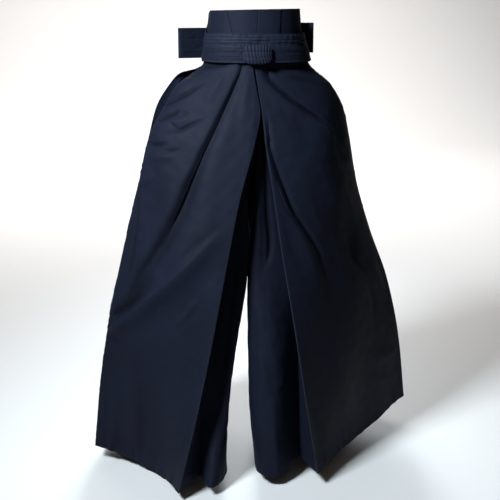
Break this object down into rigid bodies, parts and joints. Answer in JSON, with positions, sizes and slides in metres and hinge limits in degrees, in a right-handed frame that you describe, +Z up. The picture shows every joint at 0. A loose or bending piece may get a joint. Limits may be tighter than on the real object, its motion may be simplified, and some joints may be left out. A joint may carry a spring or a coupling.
{
  "type": "hakama trousers",
  "caption": "Wide pleated hakama trousers as worn, open at waist and hems, with front and back ties wound round the waist, a knot in front and a bow behind.",
  "frame": {"origin": "middle of the waist opening at the height of the ties, where the wearer's waist carries the garment", "axes": "+Z up, the front faces -Y, the wearer's right is -X and the wearer's left is +X"},
  "size_m": [0.7649, 0.5147, 1.0133],
  "materials": {
    "cloth": "plain woven navy cloth with a slight sheen",
    "tie_cloth": "the same navy cloth, folded and stitched flat"
  },
  "bodies": {
    "root": {"front_panel_right": "cloth", "front_panel_left": "cloth", "back_panel_right": "cloth", "back_panel_left": "cloth", "gusset": "cloth", "front_tie_right_start": "tie_cloth", "front_tie_left_start": "tie_cloth", "front_tie_wrap": "tie_cloth", "back_tie_band": "tie_cloth", "back_tie_right": "tie_cloth", "back_tie_left": "tie_cloth", "front_knot": "tie_cloth", "bow_knot": "tie_cloth", "bow_loop_right": "tie_cloth", "bow_loop_left": "tie_cloth"}
  },
  "joints": []
}
